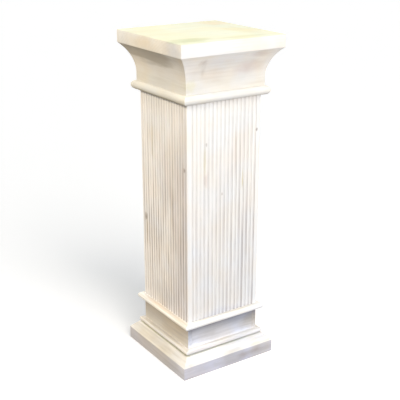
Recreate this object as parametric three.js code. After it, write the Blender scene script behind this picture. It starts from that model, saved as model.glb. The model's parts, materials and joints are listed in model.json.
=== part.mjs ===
// A square pedestal column: a hollow box of fluted boards between a cove capital and a moulded base.
// Millimetres, +Z up, origin at the middle of the underside. The front face looks along -Y.

import * as THREE from 'three';

// Heights, stacked from the floor up
const plinthHeight = 36.5;
const bevelRise = 21;
const quirkHeight = 2;
const capBeadHeight = 14;
const bandHeight = 62.5;
const lowerBeadHeight = 17;
const fluteLength = 616;
const upperBeadHeight = 25;
const friezeHeight = 21.5;
const coveRise = 79.5;
const topThickness = 35;

// Widths and thicknesses
const topWidth = 323;
const topOverhang = 1;
const shaftWidth = 235;
const boardThickness = 12.7;
const friezeThickness = 7.1;
const upperBeadReach = 19.2;
const lowerBeadReach = 15.8;
const capBeadReach = 13.5;
const bevelRun = 21.5;
const plinthReach = 35.3;

// Flutes, shallow round grooves with a flat land between each two
const flutePitch = 12.8;
const fluteWidth = 7.6;
const fluteDepth = 2.4;
const fluteEdgeMargin = 1;

// Straight pieces that each curve is drawn with
const coveSteps = 20;
const beadSteps = 14;
const fluteSteps = 6;

// Levels where one piece meets the next
const plinthTop = plinthHeight;
const bevelTop = plinthTop + bevelRise;
const quirkTop = bevelTop + quirkHeight;
const baseTop = quirkTop + capBeadHeight;
const lowerBeadBottom = baseTop + bandHeight;
const lowerBeadTop = lowerBeadBottom + lowerBeadHeight;
const boardJoint = (lowerBeadBottom + lowerBeadTop) / 2;
const upperBeadBottom = lowerBeadTop + fluteLength;
const upperBeadTop = upperBeadBottom + upperBeadHeight;
const friezeTop = upperBeadTop + friezeHeight;
const topUnderside = friezeTop + coveRise;

// Distances from the centre line out to each face
const shaftFace = shaftWidth / 2;
const friezeFace = shaftFace + friezeThickness;
const coveTopFace = topWidth / 2 - topOverhang;
const plinthFace = shaftFace + plinthReach;

const limedPine = new THREE.MeshStandardMaterial({ color: '#f0e6d2', roughness: 0.75, metalness: 0 });
const paleTop = new THREE.MeshStandardMaterial({ color: '#f6f0dc', roughness: 0.6, metalness: 0 });

// The four sides in the order that quarter turns about Z carry the front piece to them
const sides = ['front', 'right', 'back', 'left'];

// Points of a circular arc, without its first point
function arcPoints(centreX, centreY, radius, startAngle, endAngle, steps) {
  const points = [];
  for (let step = 1; step <= steps; step += 1) {
    const angle = startAngle + ((endAngle - startAngle) * step) / steps;
    points.push(new THREE.Vector2(centreX + radius * Math.cos(angle), centreY + radius * Math.sin(angle)));
  }
  return points;
}

// A section is drawn with X as the distance out from the centre line and Y as the height.
// It is run along the front side and mitred, so at each end it reaches as far sideways as it does out.
function mitredRun(section) {
  const geometry = new THREE.ExtrudeGeometry(new THREE.Shape(section), {
    depth: 1,
    steps: 1,
    bevelEnabled: false,
  });
  const position = geometry.getAttribute('position');
  for (let index = 0; index < position.count; index += 1) {
    const reach = position.getX(index);
    const height = position.getY(index);
    const towardsLeft = 1 - 2 * position.getZ(index);
    position.setXYZ(index, towardsLeft * reach, -reach, height);
  }
  geometry.computeVertexNormals();
  return geometry;
}

function corner(reach, height) {
  return new THREE.Vector2(reach, height);
}

// A half-round bead on a flat back: straight out from the shaft face, then half a circle
function beadSection(bottom, height, reach) {
  const radius = height / 2;
  const noseCentre = shaftFace + reach - radius;
  return [
    corner(shaftFace, bottom),
    corner(noseCentre, bottom),
    ...arcPoints(noseCentre, bottom + radius, radius, -Math.PI / 2, Math.PI / 2, beadSteps),
    corner(shaftFace, bottom + height),
  ];
}

// A plain frieze that turns into a hollow quarter curve, which leaves the frieze upright
function coveSection() {
  const projection = coveTopFace - friezeFace;
  const radius = (coveRise * coveRise + projection * projection) / (2 * projection);
  const sweep = Math.asin(coveRise / radius);
  return [
    corner(shaftFace, upperBeadTop),
    corner(friezeFace, upperBeadTop),
    corner(friezeFace, friezeTop),
    ...arcPoints(friezeFace + radius, friezeTop, radius, Math.PI, Math.PI - sweep, coveSteps),
    corner(shaftFace, topUnderside),
  ];
}

// Plinth face, bevel, quirk and cap bead
function baseSection() {
  const radius = capBeadHeight / 2;
  const noseCentre = shaftFace + capBeadReach - radius;
  return [
    corner(shaftFace, 0),
    corner(plinthFace, 0),
    corner(plinthFace, plinthTop),
    corner(plinthFace - bevelRun, bevelTop),
    corner(noseCentre, bevelTop),
    corner(noseCentre, quirkTop),
    ...arcPoints(noseCentre, quirkTop + radius, radius, -Math.PI / 2, Math.PI / 2, beadSteps),
    corner(shaftFace, baseTop),
  ];
}

// Flute centres on a board, spread evenly from its middle, where there is either a flute or a land
function fluteCentres(boardWidth, fluteInMiddle) {
  const limit = boardWidth / 2 - fluteEdgeMargin;
  const centres = [];
  for (let centre = fluteInMiddle ? 0 : flutePitch / 2; centre < limit; centre += flutePitch) {
    centres.push(centre);
    if (centre > 0) {
      centres.push(-centre);
    }
  }
  return centres.sort((left, right) => left - right);
}

// The plan of a fluted board on the front side: flat inner face, grooved outer face.
// A groove that meets the edge of the board is cut off there.
function flutedPlan(boardWidth, fluteInMiddle) {
  const half = boardWidth / 2;
  const radius = (fluteWidth * fluteWidth / 4 + fluteDepth * fluteDepth) / (2 * fluteDepth);
  const sweep = Math.asin(fluteWidth / 2 / radius);
  const depthAt = (offset) => Math.sqrt(radius * radius - offset * offset) - radius + fluteDepth;
  const face = [];
  for (const centre of fluteCentres(boardWidth, fluteInMiddle)) {
    for (let step = 0; step <= fluteSteps; step += 1) {
      const offset = radius * Math.sin(sweep * (2 * step / fluteSteps - 1));
      const along = THREE.MathUtils.clamp(centre + offset, -half, half);
      const depth = Math.max(depthAt(along - centre), 0);
      const previous = face[face.length - 1];
      if (!previous || along > previous.x) {
        face.push(new THREE.Vector2(along, -shaftFace + depth));
      }
    }
  }
  if (face[0].x > -half) {
    face.unshift(new THREE.Vector2(-half, -shaftFace));
  }
  if (face[face.length - 1].x < half) {
    face.push(new THREE.Vector2(half, -shaftFace));
  }
  const innerFace = -shaftFace + boardThickness;
  return [...face, new THREE.Vector2(half, innerFace), new THREE.Vector2(-half, innerFace)];
}

function plainPlan(boardWidth) {
  const half = boardWidth / 2;
  const innerFace = -shaftFace + boardThickness;
  return [
    new THREE.Vector2(-half, -shaftFace),
    new THREE.Vector2(half, -shaftFace),
    new THREE.Vector2(half, innerFace),
    new THREE.Vector2(-half, innerFace),
  ];
}

function uprightBoard(plan, bottom, top) {
  const geometry = new THREE.ExtrudeGeometry(new THREE.Shape(plan), {
    depth: top - bottom,
    steps: 1,
    bevelEnabled: false,
  });
  geometry.translate(0, 0, bottom);
  return geometry;
}

const pedestal = new THREE.Group();

function addPiece(name, geometry, material, quarterTurns = 0) {
  const piece = new THREE.Mesh(geometry, material);
  piece.name = name;
  piece.rotation.z = (quarterTurns * Math.PI) / 2;
  pedestal.add(piece);
}

// The side boards are as wide as the shaft, and the front and back boards stand between them
const betweenWidth = shaftWidth - 2 * boardThickness;

sides.forEach((side, quarterTurns) => {
  const between = side === 'front' || side === 'back';
  const boardWidth = between ? betweenWidth : shaftWidth;
  const base = mitredRun(baseSection());
  const lowerBead = mitredRun(beadSection(lowerBeadBottom, lowerBeadHeight, lowerBeadReach));
  const upperBead = mitredRun(beadSection(upperBeadBottom, upperBeadHeight, upperBeadReach));
  const band = uprightBoard(plainPlan(boardWidth), 0, boardJoint);
  const fluted = uprightBoard(flutedPlan(boardWidth, between), boardJoint, topUnderside);
  addPiece(`base_moulding_${side}`, base, limedPine, quarterTurns);
  addPiece(`band_board_${side}`, band, limedPine, quarterTurns);
  addPiece(`lower_bead_${side}`, lowerBead, limedPine, quarterTurns);
  addPiece(`fluted_board_${side}`, fluted, limedPine, quarterTurns);
  addPiece(`upper_bead_${side}`, upperBead, limedPine, quarterTurns);
  addPiece(`cove_moulding_${side}`, mitredRun(coveSection()), limedPine, quarterTurns);
});

const topBoard = new THREE.BoxGeometry(topWidth, topWidth, topThickness);
topBoard.translate(0, 0, topUnderside + topThickness / 2);
addPiece('top_board', topBoard, paleTop);

export default pedestal;
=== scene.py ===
import json
import math
import bmesh
import bpy
import mathutils
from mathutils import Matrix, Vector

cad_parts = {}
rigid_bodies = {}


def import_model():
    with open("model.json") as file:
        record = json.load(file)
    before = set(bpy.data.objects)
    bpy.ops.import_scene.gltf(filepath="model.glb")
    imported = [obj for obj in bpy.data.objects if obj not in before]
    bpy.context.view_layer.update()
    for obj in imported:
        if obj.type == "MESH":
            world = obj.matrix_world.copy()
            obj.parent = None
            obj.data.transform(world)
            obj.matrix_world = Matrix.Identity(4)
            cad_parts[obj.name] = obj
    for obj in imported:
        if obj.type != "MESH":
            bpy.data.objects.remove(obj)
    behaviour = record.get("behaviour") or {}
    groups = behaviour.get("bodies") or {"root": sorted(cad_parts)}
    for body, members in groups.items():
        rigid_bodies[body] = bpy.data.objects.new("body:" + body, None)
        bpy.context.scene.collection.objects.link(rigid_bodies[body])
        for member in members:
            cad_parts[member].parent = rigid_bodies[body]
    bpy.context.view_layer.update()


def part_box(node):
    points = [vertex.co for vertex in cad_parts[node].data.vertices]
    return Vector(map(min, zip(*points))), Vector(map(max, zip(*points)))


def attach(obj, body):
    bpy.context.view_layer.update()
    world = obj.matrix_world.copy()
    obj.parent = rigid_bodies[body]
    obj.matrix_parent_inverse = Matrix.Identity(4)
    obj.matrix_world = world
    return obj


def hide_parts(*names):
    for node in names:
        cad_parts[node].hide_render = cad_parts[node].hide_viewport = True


# A square fluted pedestal column in limed pine, modelled piece by piece from the floor up.
# Metres, +Z up, and the front face looks along -Y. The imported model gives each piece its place.
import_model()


# Base mouldings
# Four lengths of pine carry the column, each with an upright plinth face, a wide bevel, a narrow
# quirk and a half-round cap bead worked in one section. They are mitred and glued round the boards.
mm = 0.001
sides = ("front", "right", "back", "left")
low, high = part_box("base_moulding_front")
plinth_face = -low[1]
shaft_face = -high[1]
base_top = high[2]
plinth_height = 36.5 * mm
bevel_rise = 21 * mm
bevel_run = 21.5 * mm
quirk_height = 2 * mm
cap_bead_reach = 13.5 * mm
arris = 0.8 * mm
mitre_arris = 0.25 * mm
all_round = (0, 1, 2, 3)

# Points closer than this are one point
same_point = 0.01 * mm

# A face looks along an axis if its normal has more than this share along it
square_on = 0.9

# An edge that is further than this in front of the shaft's face isn't on a moulding's flat back
off_the_back = 1 * mm

# How far each side, and each piece after the last, moves on along the timber that it is cut from
side_shift = 370 * mm
piece_shift = 11 * mm


def near(first, second):
    """Whether two lengths are the same to a hundredth of a millimetre."""
    return abs(first - second) < same_point


def add_block(name, low, high):
    """A squared block of timber between two corners, left open in edit mode for shaping."""
    bpy.ops.object.select_all(action="DESELECT")
    middle = [(start + end) / 2 for start, end in zip(low, high)]
    size = [end - start for start, end in zip(low, high)]
    bpy.ops.mesh.primitive_cube_add(size=1, location=middle)
    block = bpy.context.object
    block.name = name
    block.scale = size
    bpy.ops.object.transform_apply(location=True, rotation=True, scale=True)
    bpy.ops.object.mode_set(mode="EDIT")
    return block


def select_faces(piece, chosen):
    """Selects only the faces that the test picks by centre and normal."""
    bpy.ops.mesh.select_mode(type="FACE")
    bpy.ops.mesh.select_all(action="DESELECT")
    mesh = bmesh.from_edit_mesh(piece.data)
    mesh.normal_update()
    for face in mesh.faces:
        if chosen(face.calc_center_median(), face.normal):
            face.select_set(True)
    bmesh.update_edit_mesh(piece.data)


def select_edges(piece, chosen):
    """Selects only the edges whose two ends both pass the test."""
    bpy.ops.mesh.select_mode(type="EDGE")
    bpy.ops.mesh.select_all(action="DESELECT")
    mesh = bmesh.from_edit_mesh(piece.data)
    for edge in mesh.edges:
        if all(chosen(vertex.co) for vertex in edge.verts):
            edge.select_set(True)
    bmesh.update_edit_mesh(piece.data)


def round_edges(width, segments):
    """Planes the selected edges round, and closes the seam where two rounds meet."""
    bpy.ops.mesh.bevel(offset=width, segments=segments, profile=0.5, affect="EDGES", clamp_overlap=False)
    bpy.ops.mesh.select_all(action="SELECT")
    bpy.ops.mesh.remove_doubles(threshold=same_point)


def mitre_ends(piece):
    """Saws both ends at 45 degrees through the column's centre line, and eases the sawn edges a hair."""
    for slant in (1, -1):
        bpy.ops.mesh.select_all(action="SELECT")
        bpy.ops.mesh.bisect(plane_co=(0, 0, 0), plane_no=(slant, 1, 0), use_fill=True, clear_outer=True)
    clear_of_back = -shaft_face - off_the_back
    select_edges(piece, lambda place: near(abs(place.x), -place.y) and place.y < clear_of_back)
    round_edges(mitre_arris, segments=1)


def finish_shape(piece):
    """Closes edit mode and shades round faces smooth up to their sharp edges."""
    bpy.ops.mesh.select_all(action="SELECT")
    bpy.ops.mesh.normals_make_consistent(inside=False)
    bpy.ops.object.mode_set(mode="OBJECT")
    bpy.ops.object.shade_smooth_by_angle(angle=math.radians(30))


def mark_timber(piece, along, stretch):
    """Keeps each point's place in its own timber, along the grain first, and a stretch of its own."""
    across = {0: (1, 2), 2: (0, 1)}[along]
    marks = piece.data.attributes.new("timber", "FLOAT_VECTOR", "POINT")
    for vertex, mark in zip(piece.data.vertices, marks.data):
        mark.vector = (vertex.co[along] + stretch, vertex.co[across[0]] + stretch, vertex.co[across[1]])


def set_round(front, kind, quarter_turns, along=0):
    """Copies a piece modelled at the front to the other sides, each cut from timber of its own."""
    pieces = {}
    for turns in quarter_turns:
        piece = front.copy()
        piece.data = front.data.copy()
        piece.name = f"{sides[turns]}_{kind}"
        bpy.context.collection.objects.link(piece)
        mark_timber(piece, along, stretch=side_shift * turns + piece_shift * len(bpy.data.objects))
        bpy.ops.object.select_all(action="DESELECT")
        piece.select_set(True)
        bpy.context.view_layer.objects.active = piece
        piece.rotation_euler.z = turns * math.pi / 2
        bpy.ops.object.transform_apply(location=True, rotation=True, scale=True)
        pieces[sides[turns]] = piece
    bpy.data.objects.remove(front)
    return pieces


def linear(code):
    """An sRGB hex colour as the linear colour that a shader takes."""
    channels = [int(code[start:start + 2], 16) / 255 for start in (1, 3, 5)]
    return (*(c / 12.92 if c <= 0.04045 else ((c + 0.055) / 1.055) ** 2.4 for c in channels), 1)


def add_node(tree, kind, inputs=(), **settings):
    """Adds a node, sets it up, and links or fills its sockets."""
    node = tree.nodes.new(kind)
    for name, value in settings.items():
        setattr(node, name, value)
    for name, value in dict(inputs).items():
        if isinstance(value, bpy.types.NodeSocket):
            tree.links.new(value, node.inputs[name])
        else:
            node.inputs[name].default_value = value
    return node


# Limed pine: softwood boards brushed with thin white lime and wiped while wet. The pale coat is
# matt and uneven, thick on the soft early wood and thin on the harder growth rings, so faint
# straw and grey streaks run along the grain under a chalky white.
def limed_pine(name, wash, timber, shade, ring_show=0.3, streak_show=0.35, streak_length=160 * mm,
               streak_width=9 * mm, cool="#fbfbfd"):
    """Makes the material, and returns it with its tree, its colour before any stains or painted shade, and
    its shader.
    """
    material = bpy.data.materials.new(name)
    material.use_nodes = True
    tree = material.node_tree
    surface = tree.nodes["Principled BSDF"]
    surface.inputs["IOR"].default_value = 1.45
    surface.inputs["Specular IOR Level"].default_value = 0.3
    place = add_node(tree, "ShaderNodeAttribute", attribute_name="timber").outputs["Vector"]

    # Slow clouds: how yellow the wood is, how well the wash hides the rings, and how warm it dried
    cloud_size = 95 * mm
    clouds = add_node(tree, "ShaderNodeTexNoise", {"Vector": place, "Scale": 1 / cloud_size, "Detail": 3})
    cloud = add_node(tree, "ShaderNodeSeparateColor", {"Color": clouds.outputs["Color"]})
    tone = add_node(tree, "ShaderNodeMapRange", {
        "Value": cloud.outputs["Red"], "From Min": 0.35, "From Max": 0.7, "To Min": 0, "To Max": 0.35})
    rings_through = add_node(tree, "ShaderNodeMapRange", {
        "Value": cloud.outputs["Green"], "From Min": 0.42, "From Max": 0.62, "To Min": 0,
        "To Max": ring_show})
    warmth = add_node(tree, "ShaderNodeMapRange", {
        "Value": cloud.outputs["Blue"], "From Min": 0.38, "From Max": 0.62})

    # Growth rings about 8 mm apart, round a heart that lies behind the board, so they rise
    # and part slowly along the grain as on a plain-sawn board. The wave repeats every pi / 10.
    ring_spacing = 8 * mm
    wave_repeat = math.pi / 10
    heart_beside = 30 * mm
    heart_behind = 60 * mm
    rise_along_grain = 0.09
    heart = add_node(tree, "ShaderNodeMapping", {
        "Vector": place, "Location": (0, heart_beside, -heart_behind), "Scale": (rise_along_grain, 1, 1)})
    rings = add_node(tree, "ShaderNodeTexWave", {
        "Vector": heart.outputs["Vector"], "Scale": wave_repeat / ring_spacing,
        "Distortion": 6, "Detail": 3, "Detail Scale": 0.5, "Detail Roughness": 0.6},
        wave_type="RINGS", rings_direction="X", wave_profile="SIN")
    late_wood = add_node(tree, "ShaderNodeMapRange", {
        "Value": rings.outputs["Fac"], "From Min": 0.3, "From Max": 1}, interpolation_type="SMOOTHSTEP")
    ring_mark = add_node(tree, "ShaderNodeMath", {
        0: late_wood.outputs["Result"], 1: rings_through.outputs["Result"]}, operation="MULTIPLY")

    # Streaks where the wash was wiped thin along the grain
    along = add_node(tree, "ShaderNodeMapping", {
        "Vector": place, "Scale": (1 / streak_length, 1 / streak_width, 1 / streak_width)})
    wiped = add_node(tree, "ShaderNodeTexNoise", {
        "Vector": along.outputs["Vector"], "Scale": 1, "Detail": 4, "Roughness": 0.65})
    thin_wash = add_node(tree, "ShaderNodeMapRange", {
        "Value": wiped.outputs["Fac"], "From Min": 0.42, "From Max": 0.72, "To Min": 0,
        "To Max": streak_show})

    ringed = add_node(tree, "ShaderNodeMixRGB", {
        "Fac": ring_mark.outputs["Value"], "Color1": linear(wash), "Color2": linear(timber)})
    streaked = add_node(tree, "ShaderNodeMixRGB", {
        "Fac": thin_wash.outputs["Result"], "Color1": ringed.outputs["Color"], "Color2": linear(shade)})
    toned = add_node(tree, "ShaderNodeMixRGB", {
        "Fac": tone.outputs["Result"], "Color1": streaked.outputs["Color"], "Color2": linear(timber)})
    cast = add_node(tree, "ShaderNodeMixRGB", {
        "Fac": warmth.outputs["Result"], "Color1": linear(cool), "Color2": linear("#fffaf3")})
    dried = add_node(tree, "ShaderNodeMixRGB", {
        "Fac": 1, "Color1": toned.outputs["Color"], "Color2": cast.outputs["Color"]}, blend_type="MULTIPLY")

    # Fibres 0.9 mm wide raised by the wet wash, drawn a little coarse so that they show
    fibre_length = 30 * mm
    fibre_width = 0.9 * mm
    fibre_run = add_node(tree, "ShaderNodeMapping", {
        "Vector": place, "Scale": (1 / fibre_length, 1 / fibre_width, 1 / fibre_width)})
    fibres = add_node(tree, "ShaderNodeTexNoise", {
        "Vector": fibre_run.outputs["Vector"], "Scale": 1, "Detail": 2})
    relief = add_node(tree, "ShaderNodeMath", {
        0: fibres.outputs["Fac"], 1: rings.outputs["Fac"]}, operation="ADD")
    bump = add_node(tree, "ShaderNodeBump", {
        "Height": relief.outputs["Value"], "Strength": 0.35, "Distance": 0.15 * mm})
    matt = add_node(tree, "ShaderNodeMapRange", {
        "Value": wiped.outputs["Fac"], "From Min": 0.3, "From Max": 0.7, "To Min": 0.78, "To Max": 0.62})
    tree.links.new(bump.outputs["Normal"], surface.inputs["Normal"])
    tree.links.new(matt.outputs["Result"], surface.inputs["Roughness"])
    return material, tree, dried.outputs["Color"], surface


def stain_and_shade_patch(tree, colour, middle, reach, tint, firmness):
    """Darkens the wash in a ragged patch, for stains and for painted shade, by middle and reach in mm, tint,
    and firm share of the reach.
    """
    place = add_node(tree, "ShaderNodeTexCoord").outputs["Object"]
    offset = add_node(tree, "ShaderNodeVectorMath", {
        0: place, 1: [length * mm for length in middle]}, operation="SUBTRACT")
    shares = add_node(tree, "ShaderNodeVectorMath", {
        0: offset.outputs["Vector"], 1: [length * mm for length in reach]}, operation="DIVIDE")
    own_way = add_node(tree, "ShaderNodeMapping", {"Vector": shares.outputs["Vector"], "Location": middle})
    ragged = add_node(tree, "ShaderNodeTexNoise", {
        "Vector": own_way.outputs["Vector"], "Scale": 1.6, "Detail": 3})
    torn = add_node(tree, "ShaderNodeVectorMath", {
        0: ragged.outputs["Color"], 1: (-0.5, -0.5, -0.5)}, operation="ADD")
    bent = add_node(tree, "ShaderNodeVectorMath", {
        0: shares.outputs["Vector"], 1: torn.outputs["Vector"]}, operation="ADD")
    distance = add_node(tree, "ShaderNodeVectorMath", {0: bent.outputs["Vector"]}, operation="LENGTH")
    inside = add_node(tree, "ShaderNodeMapRange", {
        "Value": distance.outputs["Value"], "From Min": firmness, "From Max": 1, "To Min": 1, "To Max": 0},
        interpolation_type="SMOOTHSTEP")
    return add_node(tree, "ShaderNodeMixRGB", {
        "Fac": inside.outputs["Result"], "Color1": colour, "Color2": linear(tint)},
        blend_type="MULTIPLY").outputs["Color"]


def shade_by_height(tree, colour, lower, upper, lower_tint, upper_tint="#ffffff"):
    """Tints the wash by height, from one tint at and below the lower level to another above the upper."""
    place = add_node(tree, "ShaderNodeTexCoord").outputs["Object"]
    height = add_node(tree, "ShaderNodeSeparateXYZ", {"Vector": place}).outputs["Z"]
    rise = add_node(tree, "ShaderNodeMapRange", {"Value": height, "From Min": lower, "From Max": upper})
    tint = add_node(tree, "ShaderNodeMixRGB", {
        "Fac": rise.outputs["Result"], "Color1": linear(lower_tint), "Color2": linear(upper_tint)})
    return add_node(tree, "ShaderNodeMixRGB", {
        "Fac": 1, "Color1": colour, "Color2": tint.outputs["Color"]}, blend_type="MULTIPLY").outputs["Color"]


bevel_top = plinth_height + bevel_rise
quirk_top = bevel_top + quirk_height
cap_bead_radius = (base_top - quirk_top) / 2
cap_bead_nose = shaft_face + cap_bead_reach
cap_bead_centre = cap_bead_nose - cap_bead_radius
base = add_block("base", (-plinth_face, -plinth_face, 0), (plinth_face, -shaft_face, plinth_height))

# The bevel is drawn up from the plinth block and its front edge is pulled back
select_faces(base, lambda place, normal: normal.z > square_on)
bpy.ops.mesh.extrude_region_move(TRANSFORM_OT_translate={"value": (0, 0, bevel_rise)})
select_edges(base, lambda place: near(place.z, bevel_top) and near(place.y, -plinth_face))
bpy.ops.transform.translate(value=(0, bevel_run, 0))

# The quirk and the block for the bead rise behind a narrow ledge
select_faces(base, lambda place, normal: normal.z > square_on)
bpy.ops.mesh.bisect(plane_co=(0, -cap_bead_centre, 0), plane_no=(0, 1, 0))
select_faces(base, lambda place, normal: normal.z > square_on and place.y > -cap_bead_centre)
bpy.ops.mesh.extrude_region_move(TRANSFORM_OT_translate={"value": (0, 0, quirk_height)})
bpy.ops.mesh.extrude_region_move(TRANSFORM_OT_translate={"value": (0, 0, base_top - quirk_top)})
select_faces(base, lambda place, normal: normal.y < -square_on and place.z > quirk_top)
bpy.ops.mesh.extrude_region_move(TRANSFORM_OT_translate={"value": (0, -cap_bead_radius, 0)})
select_edges(base, lambda place: near(place.y, -cap_bead_nose) and place.z > bevel_top)
round_edges(cap_bead_radius, segments=8)

# The sharp edges of the plinth and of the bevel are taken off with a rub of abrasive
select_edges(base, lambda place: near(place.y, -plinth_face))
round_edges(arris, segments=3)
select_edges(base, lambda place: near(place.z, bevel_top) and near(place.y, bevel_run - plinth_face))
round_edges(arris / 2, segments=2)
mitre_ends(base)
finish_shape(base)

material, tree, colour, surface = limed_pine(
    "limed pine of the base", wash="#ebe9e8", timber="#d3c9bb", shade="#bdb9ba", streak_show=0.5)

# Painted shade: the upright face is tinted darker and greyer than the bevel, for the weaker light near the
# floor
painted_shade_below = plinth_height - 1 * mm
colour = shade_by_height(tree, colour, painted_shade_below, plinth_height, lower_tint="#e3e3ed")

# Patches, with the middle, reach, tint and firm share of each: dirt on the plinth in front; painted
# shade on the left plinth toward its front corner, over the left bevel that tilts up to the light and along
# the top of the left cap bead; and painted shadow in the quirk in front and on the left
base_marks = (
    ((10, -153, 20), (75, 20, 40), "#edebe4", 0.3),
    ((110, -153, 20), (60, 20, 40), "#fcf9ee", 0.3),
    ((48, -153, 18), (26, 20, 16), "#f3ece6", 0),
    ((96, -153, 24), (30, 20, 14), "#f1ebe6", 0),
    # Painted shade on the left plinth, toward its front corner
    ((-153, -40, 20), (20, 120, 40), "#f4f3ee", 0.3),
    # Painted shade over the left bevel, which tilts up into the light
    ((-142, 45, 47), (24, 160, 22), "#ebeae6", 0.3),
    ((-142, -95, 47), (24, 95, 22), "#f1f0ee", 0.3),
    ((-142, -15, 47), (24, 90, 22), "#f5f3f1", 0.3),
    # Painted shadow in the quirk under the cap bead, in front and on the left
    ((0, -124, 58.5), (220, 14, 3.5), "#e0e3dd", 0.5),
    ((-124, 0, 58.5), (14, 220, 3.5), "#e4e5d8", 0.5),
    # Painted shade along the top of the left cap bead
    ((-126, 0, 75), (12, 200, 7), "#e2dfd8", 0.4),
)
for middle, reach, tint, firmness in base_marks:
    colour = stain_and_shade_patch(tree, colour, middle, reach, tint, firmness)
tree.links.new(colour, surface.inputs["Base Color"])
for side, piece in set_round(base, "base_moulding", all_round).items():
    piece.data.materials.append(material)
    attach(piece, "root")
    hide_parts(f"base_moulding_{side}")


# Band boards
# Plain half-inch boards flush with the shaft, their grain lying level. The side boards are as wide
# as the shaft, and the front and back ones stand between them, glued edge to face.
def finish_tinted_by_facing(piece, materials):
    """Gives a board the copy of the finish tinted for its side's light, and its edges that look to the front
    or back the copy for that face: painted light and shade by facing.
    """
    for material in reversed(materials):
        piece.data.materials.append(material)
    for face in piece.data.polygons:
        if abs(face.normal.y) > square_on:
            face.material_index = len(materials) - 1


inner_face = -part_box("band_board_front")[1][1]
band_materials = []
# One finish in copies tinted for the light on each side, the front lighter, the sides darker: painted light
# and shade
for model_side, turns, wash, shade_tint in (
        ("front", (0, 2), "#f4f6ff", "#a8a7a8"), ("right", (1, 3), "#d9d2c7", "#dbd6d2")):
    low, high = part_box(f"band_board_{model_side}")
    half_width = high[0] if model_side == "front" else high[1]
    band = add_block("band", (-half_width, -shaft_face, 0), (half_width, -inner_face, high[2]))
    select_edges(band, lambda place: near(place.y, -shaft_face))
    round_edges(arris / 2, segments=2)
    finish_shape(band)
    material, tree, colour, surface = limed_pine(
        f"limed pine of the {model_side} band", wash=wash, timber="#c6beb4", shade="#aaa7ac",
        streak_show=0.45)

    # Painted shadow under the bead: the board is tinted darker toward its top, strongly on the front and a
    # little on the sides. It is tinted drab in a patch at the right of the front, and on the left side
    # painted shade darkens it toward the front corner.
    colour = shade_by_height(
        tree, colour, base_top, base_top + 50 * mm, lower_tint="#ffffff", upper_tint=shade_tint)
    colour = stain_and_shade_patch(tree, colour, (98, -117, 96), (56, 12, 38), "#efe8da", firmness=0.2)
    colour = stain_and_shade_patch(tree, colour, (-117, -50, 92), (12, 90, 16), "#f5f4f3", firmness=0.3)
    tree.links.new(colour, surface.inputs["Base Color"])
    band_materials.append(material)
    for side, piece in set_round(band, "band_board", turns).items():
        finish_tinted_by_facing(piece, band_materials)
        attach(piece, "root")
        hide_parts(f"band_board_{side}")


# Lower beads
# Half-round strips of pine, mitred at the corners and pinned over the joint between the band boards
# and the fluted boards. Dust and painted shade darken the top of the left one.
def half_round_strip(node):
    """A strip with a flat back against the shaft, its front planed to half a circle and its ends mitred."""
    low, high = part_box(node)
    reach = -low[1]
    strip = add_block("strip", (-reach, -reach, low[2]), (reach, -shaft_face, high[2]))
    select_edges(strip, lambda place: near(place.y, -reach))

    # Of the edges in front, only the two long ones stay selected
    mesh = bmesh.from_edit_mesh(strip.data)
    for edge in mesh.edges:
        first, last = (vertex.co for vertex in edge.verts)
        if not near(first.z, last.z):
            edge.select_set(False)
    bmesh.update_edit_mesh(strip.data)
    round_edges((high[2] - low[2]) / 2, segments=12)
    mitre_ends(strip)
    finish_shape(strip)
    return strip


material, tree, colour, surface = limed_pine(
    "limed pine of the lower beads", wash="#f3f0eb", timber="#e2dacb", shade="#d0ccc7")
# Dust and painted shade along the top of the left bead
colour = stain_and_shade_patch(tree, colour, (-127, 0, 154), (12, 200, 8), "#eae2dc", firmness=0.4)
tree.links.new(colour, surface.inputs["Base Color"])
for side, piece in set_round(half_round_strip("lower_bead_front"), "lower_bead", all_round).items():
    piece.data.materials.append(material)
    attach(piece, "root")
    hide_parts(f"lower_bead_{side}")


# Fluted boards
# Upright half-inch pine boards, the faces of the shaft, each moulded with shallow round flutes and
# flat lands between them. The side boards are full width and show their edges beside the front one.
flute_pitch = 12.8 * mm
flute_width = 7.6 * mm
flute_depth = 2.4 * mm
flute_steps = 8
flute_radius = (flute_width * flute_width / 4 + flute_depth * flute_depth) / (2 * flute_depth)
flute_sweep = math.asin(flute_width / 2 / flute_radius)

# The depths below the lands at which a flute's painted shade and bare wood begin, and are at their fullest
flute_shade_starts = 0.1 * mm
flute_shade_fullest = 0.8 * mm


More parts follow.
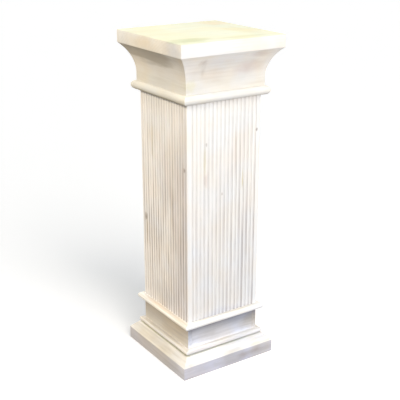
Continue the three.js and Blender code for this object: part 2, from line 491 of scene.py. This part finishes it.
def fluted_board(half_width, flute_in_middle, bottom, top):
    """One flute and its two half lands are moulded, repeated across the board, and sawn to width."""
    middle = 0 if flute_in_middle else flute_pitch / 2
    left = middle - flute_pitch / 2
    right = middle + flute_pitch / 2
    board = add_block("board", (left, -shaft_face, bottom), (right, -inner_face, top))
    angles = [flute_sweep * (2 * step / flute_steps - 1) for step in range(flute_steps + 1)]
    offsets = [flute_radius * math.sin(angle) for angle in angles]
    for offset in offsets:
        bpy.ops.mesh.select_all(action="SELECT")
        bpy.ops.mesh.bisect(plane_co=(middle + offset, 0, 0), plane_no=(1, 0, 0))
    for offset in offsets[1:-1]:
        depth = math.sqrt(flute_radius ** 2 - offset ** 2) - flute_radius + flute_depth
        select_edges(board, lambda place: near(place.x, middle + offset) and near(place.y, -shaft_face))
        bpy.ops.transform.translate(value=(0, depth, 0))

    # The strip's two sides are left open, so that its copies weld into one board: a row toward the
    # right first, and then that whole row once more toward the left
    select_faces(board, lambda place, normal: near(place.x, left) or near(place.x, right))
    bpy.ops.mesh.delete(type="ONLY_FACE")
    bpy.ops.object.mode_set(mode="OBJECT")
    strips_each_way = math.ceil(half_width / flute_pitch) + 1
    for step, count in ((flute_pitch, strips_each_way), (-flute_pitch * strips_each_way, 2)):
        row = board.modifiers.new("flutes", "ARRAY")
        row.use_relative_offset = False
        row.use_constant_offset = True
        row.constant_offset_displace = (step, 0, 0)
        row.count = count
        row.use_merge_vertices = True
        row.merge_threshold = same_point
        bpy.ops.object.modifier_apply(modifier=row.name)
    bpy.ops.object.mode_set(mode="EDIT")
    for direction in (1, -1):
        bpy.ops.mesh.select_all(action="SELECT")
        bpy.ops.mesh.bisect(plane_co=(direction * half_width, 0, 0), plane_no=(direction, 0, 0),
                            use_fill=True, clear_outer=True)
    select_edges(board, lambda place: near(abs(place.x), half_width) and near(place.y, -shaft_face))
    round_edges(arris, segments=3)
    finish_shape(board)
    return board


# Knots and stains on the boards that face the front and the left, and painted shade toward the front
# corner of the left board: middle, reach and tint of each
front_marks = (
    ((107, -117, 674), (4, 9, 7), "#bdb3ad"),
    ((-57, -117, 656), (4, 9, 7), "#ddd9d5"),
    ((-58, -117, 558), (9, 12, 24), "#f6f1f0"),
    ((-6, -117, 511), (3, 9, 6), "#d9d3ce"),
    ((37, -117, 626), (4, 9, 90), "#ebe4df"),
    ((62, -117, 540), (4, 9, 40), "#ece5cd"),
    ((-62, -117, 612), (5, 9, 46), "#f9f7ea"),
    ((0, -117, 150), (130, 12, 24), "#f4f4f8"),
)
side_marks = (
    ((-117, 103, 402), (9, 9, 16), "#c6beb8"),
    ((-117, 96, 352), (8, 7, 60), "#e9e1d9"),
    ((-117, -103, 592), (12, 4, 9), "#cbc3be"),
    ((-117, -96, 560), (8, 9, 70), "#f3efee"),
    ((-117, 30, 300), (8, 6, 120), "#f5f2ee"),
    ((-117, -40, 460), (8, 6, 90), "#f1ece6"),
    ((-117, 60, 640), (8, 6, 70), "#f5f2ec"),
    # Painted shade: the left board darker toward its front corner
    ((-117, -118, 380), (8, 110, 480), "#eeedf0"),
    ((-117, 10, 190), (8, 75, 60), "#f0efee"),
    ((-117, -5, 540), (8, 50, 150), "#f4f2f1"),
)
fluted_materials = []

# One finish in copies tinted for the light on each side, the side lighter with darker flutes: painted light
# and shade
# The last two numbers are how much of the darker flute tint shows at the head of the shaft and at its left
for model_side, turns, marks, wash, shade_tint, at_the_head, at_the_left in (
        ("front", (0, 2), front_marks, "#ebeae8", "#d8d4d5", 0.5, 0.6),
        ("right", (1, 3), side_marks, "#fbfafc", "#cec8c7", 0.35, 1)):
    low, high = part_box(f"fluted_board_{model_side}")
    in_front = model_side == "front"
    half_width = high[0] if in_front else high[1]
    board = fluted_board(half_width, in_front, low[2], high[2])
    material, tree, colour, surface = limed_pine(
        f"limed pine of the {model_side} fluted board", wash=wash, timber="#e4dcd1", shade="#d0ccc9",
        ring_show=0.15, streak_show=0.3, streak_width=11 * mm, streak_length=300 * mm, cool="#fcfbf9")

    # The flutes are painted darker than the lands, more in some of them than in others: painted shade in
    # the grooves, with wood showing through the thin wash. The darkening is weaker toward the head of the
    # shaft, and on the front toward the left.
    place = add_node(tree, "ShaderNodeTexCoord").outputs["Object"]
    parts = add_node(tree, "ShaderNodeSeparateXYZ", {"Vector": place})
    sideways = add_node(tree, "ShaderNodeMath", {0: parts.outputs["X"]}, operation="ABSOLUTE")
    outwards = add_node(tree, "ShaderNodeMath", {0: parts.outputs["Y"]}, operation="ABSOLUTE")
    reach = add_node(tree, "ShaderNodeMath", {
        0: sideways.outputs["Value"], 1: outwards.outputs["Value"]}, operation="MAXIMUM")
    in_flute = add_node(tree, "ShaderNodeMapRange", {
        "Value": reach.outputs["Value"], "From Min": shaft_face - flute_shade_fullest,
        "From Max": shaft_face - flute_shade_starts, "To Min": 1, "To Max": 0})
    timber_place = add_node(tree, "ShaderNodeAttribute", attribute_name="timber").outputs["Vector"]
    flute_run = add_node(tree, "ShaderNodeMapping", {
        "Vector": timber_place, "Scale": (1 / (210 * mm), 1 / flute_pitch, 0)})
    uneven = add_node(tree, "ShaderNodeTexNoise", {
        "Vector": flute_run.outputs["Vector"], "Scale": 0.9, "Detail": 2, "Roughness": 0.6})
    darkness_by_flute = add_node(tree, "ShaderNodeMapRange", {
        "Value": uneven.outputs["Fac"], "From Min": 0.34, "From Max": 0.62, "To Min": 0.3, "To Max": 1})
    head = add_node(tree, "ShaderNodeMapRange", {
        "Value": parts.outputs["Z"], "From Min": 420 * mm, "From Max": 720 * mm, "To Min": 1,
        "To Max": at_the_head})
    leftwards = add_node(tree, "ShaderNodeMapRange", {
        "Value": parts.outputs["X"], "From Min": -90 * mm, "From Max": 60 * mm,
        "To Min": at_the_left, "To Max": 1})
    by_place = add_node(tree, "ShaderNodeMath", {
        0: head.outputs["Result"], 1: leftwards.outputs["Result"]}, operation="MULTIPLY")
    flute_darkness = add_node(tree, "ShaderNodeMath", {
        0: by_place.outputs["Value"], 1: darkness_by_flute.outputs["Result"]}, operation="MULTIPLY")
    shade_and_wood_show = add_node(tree, "ShaderNodeMath", {
        0: in_flute.outputs["Result"], 1: flute_darkness.outputs["Value"]}, operation="MULTIPLY")
    colour = add_node(tree, "ShaderNodeMixRGB", {
        "Fac": shade_and_wood_show.outputs["Value"], "Color1": colour, "Color2": linear(shade_tint)},
        blend_type="MULTIPLY").outputs["Color"]

    # Painted shade: the shaft is tinted a little darker toward its foot
    colour = shade_by_height(tree, colour, low[2], low[2] + 480 * mm, lower_tint="#fafafb")
    for middle, reach_each_way, tint in marks:
        colour = stain_and_shade_patch(tree, colour, middle, reach_each_way, tint, firmness=0.35)
    tree.links.new(colour, surface.inputs["Base Color"])
    fluted_materials.append(material)
    for side, piece in set_round(board, "fluted_board", turns, along=2).items():
        finish_tinted_by_facing(piece, fluted_materials)
        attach(piece, "root")
        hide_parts(f"fluted_board_{side}")


# Upper beads
# Thicker half-round strips of pine, mitred at the corners and pinned round the head of the shaft under
# the cove mouldings. Painted shade darkens and yellows the underside of the left one.
material, tree, colour, surface = limed_pine(
    "limed pine of the upper beads", wash="#e2e1dd", timber="#d2cabb", shade="#c6c1b8")
# Painted shade along the underside of the left bead
colour = stain_and_shade_patch(tree, colour, (-136, 0, 770), (24, 200, 8), "#e6e1cf", firmness=0.5)
tree.links.new(colour, surface.inputs["Base Color"])
for side, piece in set_round(half_round_strip("upper_bead_front"), "upper_bead", all_round).items():
    piece.data.materials.append(material)
    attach(piece, "root")
    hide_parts(f"upper_bead_{side}")


# Cove mouldings
# A plain frieze and a deep hollow worked in one section of pine, mitred round the head of the shaft
# and glued up under the top board.
cove_rise = 79.5 * mm
frieze_thickness = 7.1 * mm
cove_steps = 28
low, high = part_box("cove_moulding_front")
cove_reach = -low[1]
frieze_top = high[2] - cove_rise
frieze_face = shaft_face + frieze_thickness
cove_projection = cove_reach - frieze_face
cove_radius = (cove_rise ** 2 + cove_projection ** 2) / (2 * cove_projection)
cove_sweep = math.asin(cove_rise / cove_radius)
cove = add_block("cove", (-cove_reach, -frieze_face, low[2]), (cove_reach, -shaft_face, frieze_top))
for step in range(cove_steps):
    angle, next_angle = (cove_sweep * count / cove_steps for count in (step, step + 1))
    rise = cove_radius * (math.sin(next_angle) - math.sin(angle))
    swell = cove_radius * (math.cos(angle) - math.cos(next_angle))
    height = frieze_top + cove_radius * math.sin(next_angle)
    select_faces(cove, lambda place, normal: normal.z > square_on and near(place.z, height - rise))
    bpy.ops.mesh.extrude_region_move(TRANSFORM_OT_translate={"value": (0, 0, rise)})
    select_edges(cove, lambda place: near(place.z, height) and place.y < -shaft_face - off_the_back)
    bpy.ops.transform.translate(value=(0, -swell, 0))
mitre_ends(cove)
finish_shape(cove)

material, tree, colour, surface = limed_pine(
    "limed pine of the cove", wash="#f4f1ec", timber="#e3d9ca", shade="#d8d1cb", ring_show=0.2,
    streak_show=0.4, streak_width=11 * mm)

# Painted light: the hollow is lighter toward the corner under the top board, where shade falls, and
# the frieze is tinted a little darker. Across the middle of the front the hollow is tinted darker, so
# that it shows lighter at the sides: painted light. Between are a smudge and its run, and patches that
# dried drab, warmer, pinker and yellower. On the left, painted shadow of the top board darkens the hollow.
colour = shade_by_height(tree, colour, 866 * mm, 887 * mm, lower_tint="#f4f3f3")
colour = shade_by_height(tree, colour, 812 * mm, 840 * mm, lower_tint="#f1f2f0")
colour = stain_and_shade_patch(tree, colour, (0, -134, 845), (170, 18, 50), "#f6f6f5", firmness=0.6)
for middle, reach, tint in (
        ((-84, -145, 876), (18, 25, 14), "#e6e1dd"),
        ((-78, -135, 853), (10, 25, 24), "#f1eeeb"),
        ((90, -150, 884), (50, 25, 14), "#efeae8"),
        ((-40, -128, 838), (50, 25, 30), "#fcf7f1"),
        ((62, -130, 850), (60, 25, 30), "#f6efee"),
        ((-112, -130, 818), (26, 25, 26), "#fdfceb")):
    colour = stain_and_shade_patch(tree, colour, middle, reach, tint, firmness=0)
# Painted shadow of the top board on the upper hollow at the left
colour = stain_and_shade_patch(tree, colour, (-148, 25, 880), (34, 190, 34), "#d7d3cc", firmness=0.5)
tree.links.new(colour, surface.inputs["Base Color"])
for side, piece in set_round(cove, "cove_moulding", all_round).items():
    piece.data.materials.append(material)
    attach(piece, "root")
    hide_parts(f"cove_moulding_{side}")


# Top board
# One thick square board of pine, its edges rubbed round, glued down on the cove mouldings. Its upper
# face is tinted yellower than its edges.
top_arris = 1.6 * mm
low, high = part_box("top_board")
top = add_block("top", low, high)
select_edges(top, lambda place: True)
round_edges(top_arris, segments=4)
finish_shape(top)

material, tree, colour, surface = limed_pine(
    "limed pine of the top board", wash="#ebe8e4", timber="#dfd7ca", shade="#d4d0ca",
    streak_width=22 * mm, streak_length=240 * mm)

# The yellow ends on the rounded edge. Patches dried greener, drabber, pinker and yellower on the upper
# face, and warmer on the left edge, where painted shade also darkens and cools it toward the front corner.
colour = shade_by_height(
    tree, colour, high[2] - 1.4 * mm, high[2] - 0.2 * mm, lower_tint="#ffffff", upper_tint="#f7fbe8")
for middle, reach, tint in (
        ((-110, -118, 930), (90, 52, 8), "#e6e9d8"),
        ((50, -130, 930), (110, 30, 8), "#f5f5ec"),
        ((120, 110, 930), (60, 60, 8), "#fdf3ec"),
        ((110, -30, 930), (56, 100, 8), "#fbf6e9"),
        ((-161, 20, 912), (8, 70, 26), "#fbf5ec"),
        # Painted shade on the left edge toward its front corner
        ((-161, -120, 912), (8, 70, 30), "#eff0f5")):
    colour = stain_and_shade_patch(tree, colour, middle, reach, tint, firmness=0.2)
tree.links.new(colour, surface.inputs["Base Color"])
piece = set_round(top, "top_board", (0,))["front"]
piece.name = "thick_top_board"
piece.data.materials.append(material)
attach(piece, "root")
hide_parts("top_board")


# Floor, light and camera
# A plain white studio floor, with soft light from the front and above, warm light from the left and
# white light from behind. The glow of the world below stands for the light that a floor throws up.
bpy.ops.mesh.primitive_plane_add(size=60, location=(0, 0, 0))
floor = bpy.context.object
floor.name = "studio_floor"
floor.visible_diffuse = False
floor.visible_glossy = False
floor.visible_shadow = False
material = bpy.data.materials.new("white studio floor")
material.use_nodes = True
paint = material.node_tree.nodes["Principled BSDF"]
paint.inputs["Base Color"].default_value = linear("#f9f3ef")
paint.inputs["Emission Color"].default_value = (1, 1, 1, 1)
paint.inputs["Emission Strength"].default_value = 0.35
paint.inputs["Roughness"].default_value = 1
paint.inputs["Specular IOR Level"].default_value = 0
floor.data.materials.append(material)

# The studio round the column: a cool ceiling, and pale floors that throw light up at each side
world = bpy.data.worlds.new("studio")
world.use_nodes = True
bpy.context.scene.world = world
tree = world.node_tree
background = tree.nodes["Background"]
away = add_node(tree, "ShaderNodeTexCoord").outputs["Generated"]
upright = add_node(tree, "ShaderNodeSeparateXYZ", {"Vector": away}).outputs["Z"]
below = add_node(tree, "ShaderNodeMath", {0: upright, 1: 0}, operation="LESS_THAN").outputs["Value"]
glow = add_node(tree, "ShaderNodeMixRGB", {
    "Fac": below, "Color1": linear("#929a9f"), "Color2": (0, 0, 0, 1)}).outputs["Color"]
for facing, light in (((0, -1, 0), "#868589"), ((-1, 0, 0), "#8a806b"),
                      ((0, 1, 0), "#c4c0b8"), ((1, 0, 0), "#c4c0b8")):
    toward = add_node(tree, "ShaderNodeVectorMath", {0: away, 1: facing}, operation="DOT_PRODUCT")
    share = add_node(tree, "ShaderNodeMath", {
        0: toward.outputs["Value"], 1: below}, operation="MULTIPLY", use_clamp=True)
    glow = add_node(tree, "ShaderNodeMixRGB", {
        "Fac": share.outputs["Value"], "Color1": glow, "Color2": linear(light)},
        blend_type="ADD").outputs["Color"]
seen = add_node(tree, "ShaderNodeLightPath").outputs["Is Camera Ray"]
shown = add_node(tree, "ShaderNodeMixRGB", {"Fac": seen, "Color1": glow, "Color2": (1, 1, 1, 1)})
tree.links.new(shown.outputs["Color"], background.inputs["Color"])


# The white floor shows only the shadow that falls behind the column, so the left and back lamps skip it
column_only = bpy.data.collections.new("column only")
column_only.objects.link(floor)
column_only.collection_objects[0].light_linking.link_state = "EXCLUDE"


def add_lamp(name, kind, energy, colour, azimuth, elevation, softness, distance=1, lights_floor=True):
    """A soft lamp that shines at the column: azimuth 0 is in front of it and 90 to its right.

    Its softness is the width of a softbox in metres, or the angle of daylight in degrees.
    """
    lamp = bpy.data.lights.new(name, kind)
    lamp.energy = energy
    lamp.color = linear(colour)[:3]
    light = bpy.data.objects.new(name, lamp)
    bpy.context.collection.objects.link(light)
    light.rotation_euler = (math.radians(90 - elevation), 0, math.radians(azimuth))
    if kind == "SUN":
        lamp.angle = math.radians(softness)
    else:
        lamp.size = softness
        aim = mathutils.Vector((0, 0, 0.7))
        light.location = aim + light.rotation_euler.to_matrix() @ mathutils.Vector((0, 0, distance))
    if not lights_floor:
        light.light_linking.receiver_collection = column_only


add_lamp("front softbox", "AREA", 7.2, "#fff9e8", azimuth=0, elevation=13, softness=0.7, distance=1.334)
add_lamp("left softbox", "AREA", 4.5, "#fbf5ea", azimuth=-118, elevation=32, softness=0.7, distance=1.5,
         lights_floor=False)
add_lamp("front daylight", "SUN", 1.52, "#d6e2ff", azimuth=0, elevation=12, softness=45)
add_lamp("high daylight", "SUN", 1.38, "#fffef6", azimuth=-10, elevation=48, softness=32)
add_lamp("left daylight", "SUN", 1.93, "#fff3da", azimuth=-95, elevation=35, softness=6,
         lights_floor=False)
add_lamp("back daylight", "SUN", 1.1, "#ffffff", azimuth=135, elevation=25, softness=40,
         lights_floor=False)

# The view of the photo, fitted to the straight edges of the column
camera_data = bpy.data.cameras.new("photo view")
camera_data.lens = 75.81
camera_data.sensor_width = 36
camera = bpy.data.objects.new("photo view", camera_data)
bpy.context.collection.objects.link(camera)
camera.location = (-1.24507, -1.86732, 1.25531)
camera.rotation_euler = (math.radians(70.432), 0, math.radians(-33.713))
bpy.context.scene.camera = camera
bpy.context.scene.view_settings.view_transform = "Standard"
